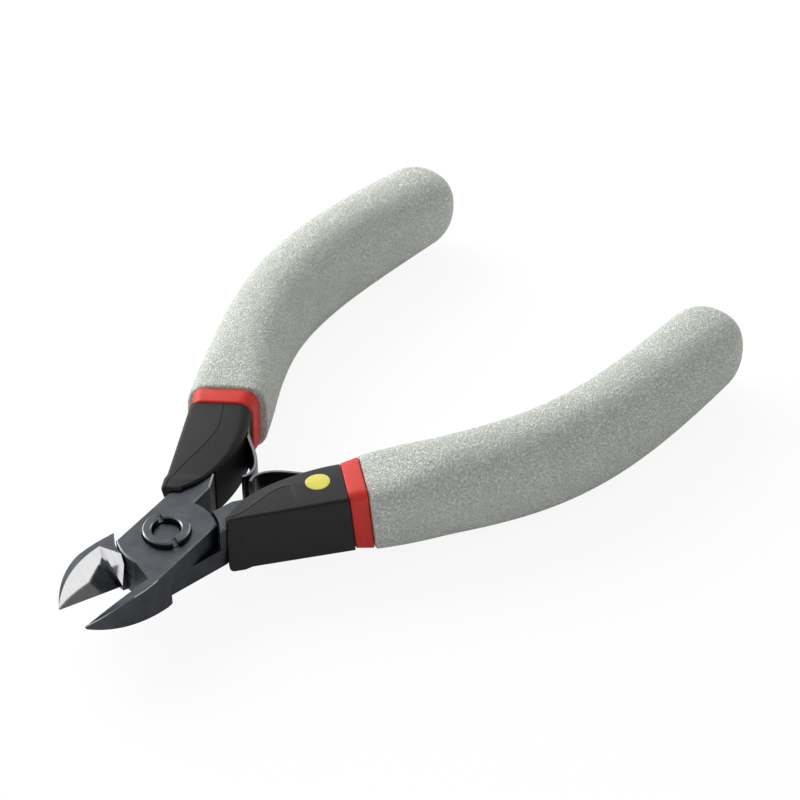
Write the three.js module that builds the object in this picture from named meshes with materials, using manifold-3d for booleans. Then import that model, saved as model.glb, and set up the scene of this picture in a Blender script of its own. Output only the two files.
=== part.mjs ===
// Side cutters for fine electronics work, lying open on their springs.
// Two lapped steel halves turn on a pivot screw held by a slotted ring nut. Each half carries a
// bowed leaf spring and a handle of a hard bolster, a coloured band and a soft grip.
// Millimetres. +X points to the jaw tips, +Y to the left handle and +Z up. The origin is on the
// pivot axis, level with the flat underside of the head.
import * as THREE from 'three';
import { mergeVertices } from 'three/addons/utils/BufferGeometryUtils.js';
import Module from 'manifold-3d';

const wasm = await Module();
wasm.setup();

const DEG = Math.PI / 180;

// Head and lap joint
const OPENING = 15.86 * DEG; // between the cutting edges at rest
const HEAD_WIDTH = 10.4;
const HEAD_THICK = 7.4;
const LAP_RADIUS = 7.6; // round ends of each lap plate
const LAP_CLEAR = 0.1; // between the two lap faces
const SHOULDER_CLEAR = 0.3; // between a lap end and the shoulder that it swings past
const EDGE_CHAMFER = 0.25;

// Jaws
const JAW_REACH = 19.5; // pivot axis to tip
const EDGE_START = 8.5; // pivot axis to the inner end of a cutting edge
const EDGE_GAP = 0.06; // left between the edges when they are closed
const EDGE_STOCK = 0.6; // ground off past the edge at the tip
const EDGE_RISE = 11 * DEG; // the edges climb to the tip
const BEVEL_ANGLE = 55 * DEG; // ground face above an edge, from level
const RELIEF_ANGLE = 45 * DEG; // ground face below an edge, from level
const THROAT_SKEW = 24 * DEG; // wall at the inner end of the ground face, in plan
const TAPER_START = 6; // where the underside begins to climb
const CROWN_START = 10.5; // where the top begins to fall
const TIP_DEPTH = 0.3; // below the lap plane
const TIP_HEIGHT = 0.25; // above the lap plane
const TIP_WIDTH = 0.15;
const JAW_FULLNESS = 5.5; // length of the outer side's first curve handle
const TIP_LEAD = [2, 3.3]; // back and out from the tip to the second curve handle
const CROWN_LEAD = 4; // length of the top's first curve handle
const CROWN_DROP = [1.7, 2.3]; // back and up from the tip to the top's second curve handle

// Pivot
const SCREW_SHANK = 4.2; // diameter
const SCREW_HEAD = 6.8; // diameter
const SCREW_HEAD_THICK = 1.4;
const SCREW_RECESS = 0.1; // end of the screw below the top of the head
const PIVOT_FIT = 0.15; // radial, round the screw and the nut
const NUT_DIAMETER = 7.2;
const NUT_BORE = 4.5;
const NUT_THICK = 2;
const NUT_PROUD = 0.9; // above the top of the head
const NUT_CHAMFER = 0.2;
const NUT_SLOT_WIDTH = 0.75;
const NUT_SLOT_DEPTH = 0.85;
const NUT_SLOT_TURN = 76 * DEG;

// Handles, each in a frame of its own: x along the handle from the pivot, y inward
const HANDLE_ANGLE = 30 * DEG; // to the centre line, with the jaws closed
const HANDLE_OFFSET = 4.67; // handle axis inward of the pivot axis
const TANG_WIDTH = 4.6;
const TANG_TIP_WIDTH = 3.4;
const TANG_DEPTH = 36; // length inside the grip
const TANG_FIT = 0.2; // all round, inside the handle's pieces
const TANG_LEAVE = 7; // where the tang leaves the side of the head, behind the pivot
const TANG_CROTCH = 5 * DEG; // where it leaves the round end of the lap plate
const NECK_XS = [9.6, 10.4]; // outer and inner edge
const NECK_Y = -1.85;

// Bolster, with a plain face that is up on the left and a face with a finger guard
const BOLSTER_START = 9.55;
const BOLSTER_END = 28;
const BOLSTER_WIDTH = 9.7; // at the band
const PLAIN_FACE = {
  flare: 0.2, // outer side, further out at the nose than at the band
  noseWall: 1.05, // over the tang at the nose
  wall: 1.8, // over the tang at the band
  drop: 0.6, // inner edge below the ridge, midway
  settle: 19, // pivot axis to where the ridge runs straight
};
const GUARD_FACE = { flare: 1.7, noseWall: 0.5, wall: 1.55, drop: 0.2, settle: 25 };
const GUARD_LENGTH = 3; // finger guard round the nose
const GUARD_OUT = 0.25;
const GUARD_DOWN = 0.15;
const NOSE_WIDTH = 1.5; // on the plain face
const NOSE_LEAD = [2, 3.95]; // inner side's curve handle at the nose, back and in
const SWELL_LEAD = [9.5, 0.5]; // and at the band, forward and in
const NOSE_ROUND = 0.7; // rounded front
const NOSE_EDGE = 0.4; // rounding of its sides
const BOLSTER_ROUND = 0.8; // outer edges at the band
const BOLSTER_INNER_ROUND = 1.9; // inner edges at the band
const RIDGE_Y = 0.5; // where the ridge of a face settles
const RIDGE_INSET = 0.7; // from the outer side at the nose

const SEAM_LEAN = 0.09; // seams, forward for each millimetre towards the plain face
const SEAM = 0.1; // between bolster, band and grip
const BAND_LENGTH = 2.9;
const BAND_OUTER = [4.55, 4.75]; // outer side from the handle's axis, at the bolster and at the grip
const BAND_INNER = [5.15, 5.85];
const BAND_HEIGHTS = [11.3, 11.9];
const BAND_SHIFT = 0.1; // to the plain face
const BAND_ROUND = 1.6; // outer edges
const BAND_INNER_ROUND = 2.7;

const GRIP_SPAN = 61; // along the handle
const GRIP_SWEEP = 27; // inward
const GRIP_LEADS = [29.9, 31.2]; // curve handles
const GRIP_TILTS = [5.9 * DEG, 41.1 * DEG]; // at the band and at the end
const GRIP_SETTLE = 10; // length in which its sections turn from square to the band
const GRIP_WIDTHS = [11.8, 12.5, 13.5]; // at the band, halfway and at the end
const GRIP_HEIGHTS = [13.8, 17.3, 14.5];
const GRIP_COLLAR = 1.1; // fuller on the inside behind the band
const GRIP_COLLAR_LENGTH = 30;
const GRIP_SHOULDER = 14; // length in which it rises from the band
const GRIP_RISE = 1.7; // its height lacks this at the band
const GRIP_DIP = 0.2; // its middle is this far to the guard face at the band
const GRIP_CAP = 7.8; // rounded end
const GRIP_RIM = 0.4; // rounded edge at the band
const GRIP_SQUARES = [3.6, 2.3]; // at the band and past its shoulder, 2 is an ellipse, more is squarer

// Leaf springs
const SPRING_THICK = 0.6;
const SPRING_WIDTH = 6.2;
const SPRING_GAP = 0.4; // between the two crests at rest
const SPRING_FIT = 0.3; // round the foot in the bolster
const CREST_REACH = 18; // pivot axis to the crest
const CREST_LEAD = 3.2;
const FOOT_LENGTH = 2.4;
const FOOT_SINK = 0.35; // middle of the foot below the bolster's inner side
const FOOT_END = 1; // from the band
const FOOT_LEAD = 3.6;
const FOOT_TILT = 15 * DEG;
const FREE_END = [1.2, 0.4]; // forward of the crest and back from the centre plane

// Facets
const ARC_STEPS = 18;
const ROUND_STEPS = 60;
const CORNER_STEPS = 4;
const BOLSTER_STEPS = 18;
const NOSE_STEPS = 3;
const GRIP_STEPS = 26;
const GRIP_SIDES = 28;
const CAP_STEPS = 6;
const RIM_STEPS = 3;
const TANG_STEPS = 8;
const SPRING_STEPS = 12;

// Sizes that follow
const HALF_WIDTH = HEAD_WIDTH / 2;
const HALF_THICK = HEAD_THICK / 2;
const SHOULDER_RADIUS = LAP_RADIUS + SHOULDER_CLEAR;
const BAND_START = BOLSTER_END + SEAM;
const GRIP_START = BAND_START + BAND_LENGTH + SEAM;
const ROOM = 3 * JAW_REACH; // larger than anything that is cut

const at = (x, y) => new THREE.Vector2(x, y);
const space = (x, y, z) => new THREE.Vector3(x, y, z);
const { clamp, lerp, smoothstep } = THREE.MathUtils;

// A smooth value through three sizes, at 0, one half and 1.
function through([start, middle, end], t) {
  const swing = start - 2 * middle + end;
  return start + (4 * middle - 3 * start - end) * t + 2 * swing * t * t;
}

// A closed geometry as a solid that can be joined and cut.
function solid(geometry) {
  const bare = geometry.clone();
  bare.deleteAttribute('normal');
  bare.deleteAttribute('uv');
  const merged = mergeVertices(bare);
  return new wasm.Manifold(
    new wasm.Mesh({
      numProp: 3,
      vertProperties: merged.attributes.position.array,
      triVerts: new Uint32Array(merged.index.array),
    }),
  );
}

function geometryOf(body) {
  const mesh = body.getMesh();
  const geometry = new THREE.BufferGeometry();
  geometry.setAttribute('position', new THREE.BufferAttribute(mesh.vertProperties, 3));
  geometry.setIndex(new THREE.BufferAttribute(mesh.triVerts, 1));
  const faceted = geometry.toNonIndexed();
  faceted.computeVertexNormals();
  return faceted;
}

// Everything on the side of a plane that its normal points to.
function beyond(point, normal) {
  const up = space(0, 0, 1);
  const turn = new THREE.Quaternion().setFromUnitVectors(up, normal.clone().normalize());
  const block = new THREE.BoxGeometry(ROOM, ROOM, ROOM).translate(0, 0, ROOM / 2);
  return solid(block.applyQuaternion(turn).translate(point.x, point.y, point.z));
}

// A plate of an outline, between two heights.
function plate(shape, bottom, top) {
  const flat = { depth: top - bottom, bevelEnabled: false, curveSegments: ARC_STEPS };
  return solid(new THREE.ExtrudeGeometry(shape, flat).translate(0, 0, bottom));
}

// An upright round between two heights.
function round(radius, bottom, top) {
  const upright = new THREE.CylinderGeometry(radius, radius, top - bottom, ROUND_STEPS);
  return solid(upright.rotateX(Math.PI / 2).translate(0, 0, (bottom + top) / 2));
}

// A closed skin over rings of equally many points, each ring counter-clockwise seen from the last.
function loft(rings) {
  const count = rings[0].length;
  const points = rings.flat();
  const middle = (ring) =>
    ring.reduce((sum, p) => sum.add(p), space(0, 0, 0)).divideScalar(ring.length);
  const front = points.push(middle(rings[0])) - 1;
  const back = points.push(middle(rings.at(-1))) - 1;
  const lastRing = (rings.length - 1) * count;
  const faces = [];
  for (let i = 0; i < count; i++) {
    const next = (i + 1) % count;
    faces.push(front, next, i, back, lastRing + i, lastRing + next);
    for (let row = 0; row < lastRing; row += count) {
      faces.push(row + i, row + next, row + count + i);
      faces.push(row + next, row + count + next, row + count + i);
    }
  }
  return solid(new THREE.BufferGeometry().setFromPoints(points).setIndex(faces));
}

// The same point in the left handle's frame and in the frame of the closed head.
function toHead({ x, y }) {
  return at(x, y + HANDLE_OFFSET).rotateAround(at(0, 0), Math.PI - HANDLE_ANGLE);
}

function toHandle({ x, y }) {
  return at(x, y).rotateAround(at(0, 0), HANDLE_ANGLE - Math.PI).sub(at(0, HANDLE_OFFSET));
}

// A point of the open tool, measured from its centre plane, in the left handle's frame.
function openToHandle(x, y) {
  return toHandle(at(x, y).rotateAround(at(0, 0), OPENING / 2));
}

// Middle line of the grip, in the handle's frame.
const gripLine = (() => {
  const start = at(GRIP_START, 0);
  const end = at(GRIP_START + GRIP_SPAN, GRIP_SWEEP);
  const heading = (angle) => at(Math.cos(angle), Math.sin(angle));
  const first = heading(GRIP_TILTS[0]).multiplyScalar(GRIP_LEADS[0]).add(start);
  const second = heading(GRIP_TILTS[1]).multiplyScalar(-GRIP_LEADS[1]).add(end);
  return new THREE.CubicBezierCurve(start, first, second, end);
})();

// Place, direction and inward side of the grip's middle line, at a share of its length.
function alongGrip(share) {
  const place = gripLine.getPointAt(share);
  const ahead = gripLine.getTangentAt(share);
  const skew = 1 - smoothstep(share * gripLine.getLength(), 0, GRIP_SETTLE);
  const inward = at(-ahead.y, ahead.x).rotateAround(at(0, 0), -skew * GRIP_TILTS[0]);
  return { place, ahead, inward };
}

// One edge of the tang from its neck to its end in the grip, outer (-1) or inner (1).
function tangEdge(side, fit) {
  const neckX = side < 0 ? NECK_XS[0] : NECK_XS[1];
  const edge = [at(neckX, NECK_Y + side * (TANG_WIDTH / 2 + fit))];
  for (let i = 0; i <= TANG_STEPS; i++) {
    const share = i / TANG_STEPS;
    const { place, ahead, inward } = alongGrip((share * TANG_DEPTH) / gripLine.getLength());
    const half = lerp(TANG_WIDTH, TANG_TIP_WIDTH, share) / 2 + fit;
    const endFit = i === TANG_STEPS ? fit : 0;
    edge.push(place.addScaledVector(inward, side * half).addScaledVector(ahead, endFit));
  }
  return edge;
}

// The room that the tang and the back of the head take inside a handle.
function tangRoom() {
  const fit = TANG_FIT;
  const out = at(0, -fit);
  const sideFront = toHandle(at(0, HALF_WIDTH)).add(out);
  const sideBack = toHandle(at(-TANG_LEAVE, HALF_WIDTH)).add(out);
  const crotch = toHandle(crotchPoint()).sub(out);
  const front = toHandle(at(0, 0));
  const outline = [sideFront, sideBack, ...tangEdge(-1, fit), ...tangEdge(1, fit).reverse()];
  return plate(new THREE.Shape([...outline, crotch, front]), -HALF_THICK - fit, HALF_THICK + fit);
}

function crotchPoint() {
  return at(-Math.cos(TANG_CROTCH), Math.sin(TANG_CROTCH)).multiplyScalar(LAP_RADIUS);
}

// Plan of a closed half whose handle lies to +Y (side 1) or to -Y (side -1).
function halfOutline(side) {
  const corner = Math.asin(HALF_WIDTH / LAP_RADIUS);
  const edgeY = -EDGE_GAP / 2;
  const tipY = edgeY - TIP_WIDTH;
  const jawX = SHOULDER_RADIUS;
  const shape = new THREE.Shape();
  const line = (p) => shape.lineTo(p.x, side * p.y);
  const lapEnd = (from, to) => shape.absarc(0, 0, LAP_RADIUS, side * from, side * to, side > 0);
  lapEnd(corner, Math.asin(edgeY / LAP_RADIUS));
  line(at(JAW_REACH, EDGE_STOCK));
  line(at(JAW_REACH, tipY));
  shape.bezierCurveTo(
    JAW_REACH - TIP_LEAD[0], side * (tipY - TIP_LEAD[1]),
    jawX + JAW_FULLNESS, -side * HALF_WIDTH,
    jawX, -side * HALF_WIDTH,
  );
  lapEnd(corner - Math.PI, -Math.PI - TANG_CROTCH);
  tangEdge(1, 0).map(toHead).forEach(line);
  tangEdge(-1, 0).map(toHead).reverse().forEach(line);
  line(at(-TANG_LEAVE, HALF_WIDTH));
  return shape;
}

// Side view of the jaws, cut to the head's full height behind them.
function jawProfile() {
  const back = -2 * (GRIP_START + GRIP_SPAN);
  const slope = (HALF_THICK - TIP_DEPTH) / (JAW_REACH - TAPER_START);
  const shape = new THREE.Shape();
  shape.moveTo(back, -HEAD_THICK);
  shape.lineTo(TAPER_START - HALF_THICK / slope, -HEAD_THICK);
  shape.lineTo(JAW_REACH, -TIP_DEPTH);
  shape.lineTo(JAW_REACH, TIP_HEIGHT);
  shape.bezierCurveTo(
    JAW_REACH - CROWN_DROP[0], TIP_HEIGHT + CROWN_DROP[1],
    CROWN_START + CROWN_LEAD, HALF_THICK,
    CROWN_START, HALF_THICK,
  );
  shape.lineTo(CROWN_START, HEAD_THICK);
  shape.lineTo(back, HEAD_THICK);
  const across = { depth: 2 * ROOM, bevelEnabled: false, curveSegments: ARC_STEPS };
  const geometry = new THREE.ExtrudeGeometry(shape, across).translate(0, 0, -ROOM);
  return solid(geometry.rotateX(Math.PI / 2));
}

// What grinding takes off one jaw: the bevel above its edge, the relief below and the stock past it.
function grinding(jawSide) {
  const rise = Math.tan(EDGE_RISE);
  const edgeZ = (x) => -(JAW_REACH - x) * rise;
  const tip = space(JAW_REACH, 0, 0);
  const edgeEnd = space(EDGE_START, 0, edgeZ(EDGE_START));
  const throatTop = space(LAP_RADIUS, 0, HALF_THICK);
  const throatLine = space(Math.sin(THROAT_SKEW), jawSide * Math.cos(THROAT_SKEW), 0);
  const throat = throatLine.cross(edgeEnd.clone().sub(throatTop)).multiplyScalar(-jawSide);
  const onSide = beyond(space(0, 0, 0), space(0, jawSide, 0));
  const above = space(-rise, -jawSide * Math.tan(BEVEL_ANGLE), 1);
  const below = space(rise, -jawSide * Math.tan(RELIEF_ANGLE), -1);
  const bevel = beyond(tip, above).intersect(beyond(throatTop, throat));
  const relief = beyond(tip, below).intersect(beyond(edgeEnd, space(1, 0, 0)));
  const pastEdge = beyond(space(0, (jawSide * EDGE_GAP) / 2, 0), space(0, -jawSide, 0));
  const stock = pastEdge.intersect(beyond(throatTop, space(1, 0, 0)));
  return bevel.add(relief).intersect(onSide).add(stock);
}

// One half of the head with its jaw and tang. Its lap plate is the lower one on side 1.
function half(side) {
  const bevelled = {
    depth: HEAD_THICK - 2 * EDGE_CHAMFER,
    bevelThickness: EDGE_CHAMFER,
    bevelSize: EDGE_CHAMFER,
    bevelOffset: -EDGE_CHAMFER,
    bevelSegments: 1,
    curveSegments: ARC_STEPS,
  };
  const blank = new THREE.ExtrudeGeometry(halfOutline(side), bevelled);
  const face = -side * (LAP_CLEAR / 2);
  const lap = [face, side * HEAD_THICK].sort((a, b) => a - b);
  const bore = round(SCREW_SHANK / 2 + PIVOT_FIT, -HEAD_THICK, HEAD_THICK);
  const seat =
    side > 0
      ? round(SCREW_HEAD / 2 + PIVOT_FIT, -HEAD_THICK, SCREW_HEAD_THICK + PIVOT_FIT - HALF_THICK)
      : round(NUT_DIAMETER / 2 + PIVOT_FIT, HALF_THICK + NUT_PROUD - NUT_THICK - PIVOT_FIT, HEAD_THICK);
  return solid(blank.translate(0, 0, EDGE_CHAMFER - HALF_THICK))
    .intersect(jawProfile())
    .subtract(round(SHOULDER_RADIUS, lap[0], lap[1]))
    .subtract(grinding(-side))
    .subtract(bore)
    .subtract(seat);
}

function pivotScrew() {
  const bottom = -HALF_THICK;
  const top = HALF_THICK - SCREW_RECESS;
  const shank = SCREW_SHANK / 2;
  const profile = [
    at(0, bottom),
    at(SCREW_HEAD / 2, bottom),
    at(SCREW_HEAD / 2, bottom + SCREW_HEAD_THICK),
    at(shank, bottom + SCREW_HEAD_THICK),
    at(shank, top - NUT_CHAMFER),
    at(shank - NUT_CHAMFER, top),
    at(0, top),
  ];
  return solid(new THREE.LatheGeometry(profile, ROUND_STEPS).rotateX(Math.PI / 2));
}

function ringNut() {
  const top = HALF_THICK + NUT_PROUD;
  const bottom = top - NUT_THICK;
  const outer = NUT_DIAMETER / 2;
  const inner = NUT_BORE / 2;
  const profile = [
    at(inner, bottom),
    at(outer, bottom),
    at(outer, top - NUT_CHAMFER),
    at(outer - NUT_CHAMFER, top),
    at(inner + NUT_CHAMFER, top),
    at(inner, top - NUT_CHAMFER),
    at(inner, bottom),
  ];
  const ring = solid(new THREE.LatheGeometry(profile, ROUND_STEPS).rotateX(Math.PI / 2));
  const slot = new THREE.BoxGeometry(2 * NUT_DIAMETER, NUT_SLOT_WIDTH, 2 * NUT_SLOT_DEPTH);
  return ring.subtract(solid(slot.translate(0, 0, top).rotateZ(NUT_SLOT_TURN)));
}

// Rounded corner of a section, as points from one angle on through a right angle.
function corner(x, y, z, radius, from) {
  const points = [];
  for (let i = 0; i <= CORNER_STEPS; i++) {
    const turn = from + ((i / CORNER_STEPS) * Math.PI) / 2;
    points.push(space(x, y + radius * Math.cos(turn), z + radius * Math.sin(turn)));
  }
  return points;
}

// A ring leaned as the seams are, or by a share of that.
function lean(ring, share = 1) {
  return ring.map((p) => space(p.x - share * SEAM_LEAN * p.z, p.y, p.z));
}

// A handle section with rounded corners, its two faces given as ridge, outer side, height and drop.
function section(x, inner, [radius, innerRadius], plain, guard) {
  const high = inner - innerRadius;
  const margin = 0.1;
  const ridge = (face) => {
    const low = face.outer + radius;
    return clamp(face.ridge, lerp(low, high, margin), lerp(high, low, margin));
  };
  return [
    ...corner(x, high, plain.height - plain.drop - innerRadius, innerRadius, 0),
    space(x, ridge(plain), plain.height),
    ...corner(x, plain.outer + radius, plain.height - radius, radius, Math.PI / 2),
    ...corner(x, guard.outer + radius, radius - guard.height, radius, Math.PI),
    space(x, ridge(guard), -guard.height),
    ...corner(x, high, guard.drop + innerRadius - guard.height, innerRadius, 1.5 * Math.PI),
  ];
}

// Share of the way along the bolster, from its nose to the band.
function bolsterShare(x) {
  return (x - BOLSTER_START) / (BOLSTER_END - BOLSTER_START);
}

// Inner side of the bolster in plan, from its nose to the band.
const bolsterInner = (() => {
  const nose = at(BOLSTER_START, NOSE_WIDTH - BOLSTER_WIDTH / 2 - PLAIN_FACE.flare);
  const end = at(BOLSTER_END, BOLSTER_WIDTH / 2);
  const leave = at(...NOSE_LEAD).add(nose);
  const arrive = at(-SWELL_LEAD[0], SWELL_LEAD[1]).add(end);
  return new THREE.CubicBezierCurve(nose, leave, arrive, end);
})();

// One face of the bolster at a distance from the pivot, with a share of the finger guard.
function bolsterFace(x, { flare, noseWall, wall, drop, settle }, guard) {
  const way = bolsterShare(x);
  const outer = -BOLSTER_WIDTH / 2 - flare * (1 - way) - guard * GUARD_OUT;
  return {
    outer,
    height: HALF_THICK + lerp(noseWall, wall, way) + guard * GUARD_DOWN,
    drop: drop * Math.sin(Math.PI * way),
    ridge: lerp(outer + RIDGE_INSET, RIDGE_Y, smoothstep(x, BOLSTER_START, settle)),
  };
}

// Hard shell over the neck of the tang, with a finger guard and a recess for the spring's foot.
function bolster() {
  const rings = [];
  for (let i = 0; i <= BOLSTER_STEPS; i++) {
    const { x, y } = bolsterInner.getPoint((i / BOLSTER_STEPS) ** 1.2);
    const radii = [BOLSTER_ROUND, BOLSTER_INNER_ROUND].map((end) => lerp(NOSE_EDGE, end, bolsterShare(x)));
    const guard = 1 - smoothstep(x - BOLSTER_START, GUARD_LENGTH / 2, GUARD_LENGTH);
    const faces = [bolsterFace(x, PLAIN_FACE, 0), bolsterFace(x, GUARD_FACE, guard)];
    rings.push(lean(section(x, y, radii, ...faces), bolsterShare(x)));
  }
  const nose = rings[0];
  const middle = nose.reduce((sum, p) => sum.add(p), space(0, 0, 0)).divideScalar(nose.length);
  const shrink = NOSE_ROUND / (HALF_THICK + GUARD_FACE.noseWall);
  const front = [];
  for (let i = 0; i < NOSE_STEPS; i++) {
    const turn = ((i / NOSE_STEPS) * Math.PI) / 2;
    const share = 1 - shrink * (1 - Math.sin(turn));
    const x = BOLSTER_START - NOSE_ROUND * Math.cos(turn);
    front.push(nose.map((p) => middle.clone().lerp(p, share).setX(x)));
  }
  return loft([...front, ...rings]).subtract(tangRoom()).subtract(spring(SPRING_FIT));
}

function band() {
  const radii = [BAND_ROUND, BAND_INNER_ROUND];
  const rings = [0, 1].map((end) => {
    const face = (shift) => ({
      outer: -BAND_OUTER[end],
      height: BAND_HEIGHTS[end] / 2 + shift,
      drop: 0,
      ridge: 0,
    });
    const x = BAND_START + end * BAND_LENGTH;
    return lean(section(x, BAND_INNER[end], radii, face(BAND_SHIFT), face(-BAND_SHIFT)));
  });
  return loft(rings).subtract(tangRoom());
}

// One grip section round a place on its middle line, squarer than an ellipse.
function gripSection({ place, inward }, width, height, square, dip) {
  const ring = [];
  const bend = (value) => Math.sign(value) * Math.abs(value) ** (2 / square);
  for (let i = 0; i < GRIP_SIDES; i++) {
    const turn = (i / GRIP_SIDES) * 2 * Math.PI;
    const across = place.clone().addScaledVector(inward, (width / 2) * bend(Math.cos(turn)));
    ring.push(space(across.x, across.y, (height / 2) * bend(Math.sin(turn)) - dip));
  }
  return ring;
}

// Soft grip: a swept oval that swells in the palm and closes in a round end.
function grip() {
  const rings = [];
  const add = (spot, share, scale, inset) => {
    const reach = share * gripLine.getLength();
    const collar = GRIP_COLLAR * (1 - smoothstep(reach, 0, GRIP_COLLAR_LENGTH));
    const low = 1 - smoothstep(reach, 0, GRIP_SHOULDER);
    const width = scale * (through(GRIP_WIDTHS, share) + collar - inset);
    const height = scale * (through(GRIP_HEIGHTS, share) - low * GRIP_RISE - inset);
    const square = lerp(GRIP_SQUARES[1], GRIP_SQUARES[0], low);
    const place = spot.place.clone().addScaledVector(spot.inward, collar / 2);
    const ring = gripSection({ place, inward: spot.inward }, width, height, square, low * GRIP_DIP);
    rings.push(lean(ring, 1 - smoothstep(reach, 0, GRIP_SETTLE)));
  };
  for (let i = 0; i <= RIM_STEPS; i++) {
    const turn = ((i / RIM_STEPS) * Math.PI) / 2;
    const share = (GRIP_RIM * (1 - Math.cos(turn))) / gripLine.getLength();
    add(alongGrip(share), share, 1, 2 * GRIP_RIM * (1 - Math.sin(turn)));
  }
  const rimShare = GRIP_RIM / gripLine.getLength();
  for (let i = 1; i <= GRIP_STEPS; i++) {
    const share = lerp(rimShare, 1, i / GRIP_STEPS);
    add(alongGrip(share), share, 1, 0);
  }
  const end = alongGrip(1);
  for (let i = 1; i < CAP_STEPS; i++) {
    const turn = ((i / CAP_STEPS) * Math.PI) / 2;
    const place = end.place.clone().addScaledVector(end.ahead, GRIP_CAP * Math.sin(turn));
    add({ place, inward: end.inward }, 1, Math.cos(turn), 0);
  }
  return loft(rings).subtract(tangRoom());
}

// Leaf spring on edge: a foot on the bolster, a sweep to its crest at the centre plane, a free end.
function springLine() {
  const footY = BOLSTER_WIDTH / 2 - FOOT_SINK;
  const footBack = at(BOLSTER_END - FOOT_END, footY);
  const footFront = at(BOLSTER_END - FOOT_END - FOOT_LENGTH, footY);
  const lift = (SPRING_GAP + SPRING_THICK) / 2;
  const crest = openToHandle(-CREST_REACH, lift);
  const before = openToHandle(-CREST_REACH - CREST_LEAD, lift);
  const after = openToHandle(-CREST_REACH + FREE_END[0] / 2, lift);
  const end = openToHandle(-CREST_REACH + FREE_END[0], lift + FREE_END[1]);
  const leave = at(-Math.cos(FOOT_TILT), Math.sin(FOOT_TILT)).multiplyScalar(FOOT_LEAD);
  const sweep = new THREE.CubicBezierCurve(footFront, leave.add(footFront), before, crest);
  const curl = new THREE.QuadraticBezierCurve(crest, after, end);
  return [footBack, ...sweep.getPoints(SPRING_STEPS), ...curl.getPoints(3).slice(1)];
}

// The leaf, or with a fit the room that it takes.
function spring(fit) {
  const line = springLine();
  const thick = SPRING_THICK / 2 + fit;
  const sides = [[], []];
  line.forEach((place, i) => {
    const ahead = line[Math.min(i + 1, line.length - 1)].clone().sub(line[Math.max(i - 1, 0)]);
    ahead.normalize();
    const endFit = i === 0 ? -fit : i === line.length - 1 ? fit : 0;
    const spot = place.clone().addScaledVector(ahead, endFit);
    sides[0].push(at(spot.x - ahead.y * thick, spot.y + ahead.x * thick));
    sides[1].push(at(spot.x + ahead.y * thick, spot.y - ahead.x * thick));
  });
  const shape = new THREE.Shape([...sides[0], ...sides[1].reverse()]);
  return plate(shape, -SPRING_WIDTH / 2 - fit, SPRING_WIDTH / 2 + fit);
}

const LOOKS = {
  steel: { color: 0x53575c, roughness: 0.45, metalness: 0.9 },
  nut: { color: 0x4a4e54, roughness: 0.5, metalness: 0.9 },
  leaf: { color: 0x3f4347, roughness: 0.4, metalness: 0.9 },
  bolster: { color: 0x26272a, roughness: 0.6, metalness: 0 },
  band: { color: 0xd8332b, roughness: 0.4, metalness: 0 },
  grip: { color: 0xa9afa9, roughness: 0.9, metalness: 0 },
};

function piece(name, body, look) {
  const mesh = new THREE.Mesh(geometryOf(body), new THREE.MeshStandardMaterial(LOOKS[look]));
  mesh.name = name;
  return mesh;
}

// The pieces that both handles have, in the handle's frame.
function handle(name) {
  const group = new THREE.Group();
  group.rotation.z = Math.PI - HANDLE_ANGLE;
  const offset = toHead(at(0, 0));
  group.position.set(offset.x, offset.y, 0);
  group.add(
    piece(`${name}_bolster`, bolster(), 'bolster'),
    piece(`${name}_band`, band(), 'band'),
    piece(`${name}_grip`, grip(), 'grip'),
    piece(`${name}_leaf_spring`, spring(0), 'leaf'),
  );
  return group;
}

// The left handle's half lies below at the lap, with the screw and the nut.
const left = new THREE.Group();
left.rotation.z = -OPENING / 2;
left.add(
  piece('lower_half', half(1), 'steel'),
  piece('pivot_screw', pivotScrew(), 'steel'),
  piece('ring_nut', ringNut(), 'nut'),
  handle('left'),
);

// The right handle is the left one turned over about the centre line.
const turnedOver = new THREE.Group();
turnedOver.rotation.x = Math.PI;
turnedOver.add(handle('right'));

const right = new THREE.Group();
right.rotation.z = OPENING / 2;
right.add(piece('upper_half', half(-1), 'steel'), turnedOver);

const cutters = new THREE.Group();
for (const side of [left, right]) {
  side.position.z = HALF_THICK;
  cutters.add(side);
}

export default cutters;
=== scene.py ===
import math

import bmesh
import bpy
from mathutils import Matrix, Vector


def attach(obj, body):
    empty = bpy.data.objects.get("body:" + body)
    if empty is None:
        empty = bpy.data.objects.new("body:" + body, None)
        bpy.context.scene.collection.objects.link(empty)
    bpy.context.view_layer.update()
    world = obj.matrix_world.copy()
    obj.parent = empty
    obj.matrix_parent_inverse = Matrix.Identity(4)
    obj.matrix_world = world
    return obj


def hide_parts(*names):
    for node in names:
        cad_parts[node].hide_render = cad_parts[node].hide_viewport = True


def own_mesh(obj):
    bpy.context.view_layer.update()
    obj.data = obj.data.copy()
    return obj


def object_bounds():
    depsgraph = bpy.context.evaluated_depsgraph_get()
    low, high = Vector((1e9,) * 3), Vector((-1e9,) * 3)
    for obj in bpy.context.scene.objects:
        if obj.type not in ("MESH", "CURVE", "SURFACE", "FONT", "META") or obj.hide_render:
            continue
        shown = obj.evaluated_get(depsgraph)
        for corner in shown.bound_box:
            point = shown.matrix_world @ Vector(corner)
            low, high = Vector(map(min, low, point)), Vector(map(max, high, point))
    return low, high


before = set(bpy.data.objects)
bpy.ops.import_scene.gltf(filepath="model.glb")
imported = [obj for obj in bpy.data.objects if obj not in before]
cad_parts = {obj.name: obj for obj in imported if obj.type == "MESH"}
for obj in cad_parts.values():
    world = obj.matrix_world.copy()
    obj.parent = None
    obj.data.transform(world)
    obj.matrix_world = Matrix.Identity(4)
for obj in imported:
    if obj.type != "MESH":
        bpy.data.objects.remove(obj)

from bl_math import clamp, lerp, smoothstep
from bpy.props import FloatProperty, FloatVectorProperty, PointerProperty
from bpy.types import Operator, Panel, PropertyGroup
from mathutils import Matrix, Vector
from mathutils.bvhtree import BVHTree

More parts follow.
